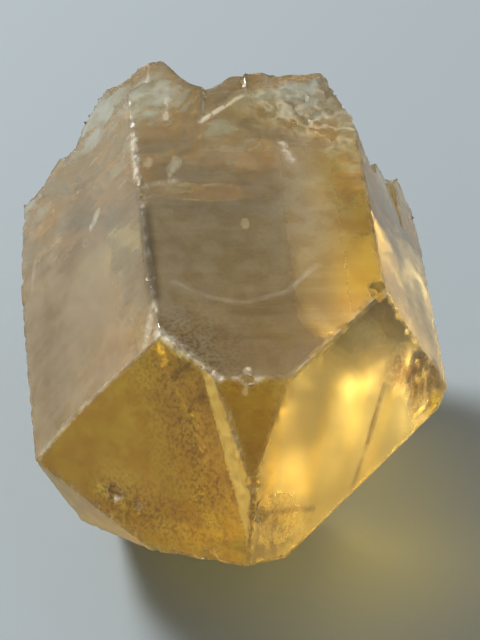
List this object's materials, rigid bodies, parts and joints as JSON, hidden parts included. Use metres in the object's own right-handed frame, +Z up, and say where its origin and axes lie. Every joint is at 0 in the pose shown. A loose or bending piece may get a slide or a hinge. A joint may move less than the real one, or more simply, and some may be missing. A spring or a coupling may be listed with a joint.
{
  "type": "raw citrine crystal",
  "caption": "Stubby rough quartz crystal with flat faces, a blunt point and a broken end, clear golden brown, lying on one side.",
  "frame": {"origin": "on the resting stem face, under the middle of the crystal", "axes": "-Y towards the point along the crystal's long axis, +Z up from the resting face, +X across to the right seen from the point"},
  "size_m": [0.0345, 0.0463, 0.0285],
  "materials": {
    "citrine": "clear, worn"
  },
  "bodies": {
    "root": {"citrine_crystal": "citrine"}
  },
  "joints": []
}
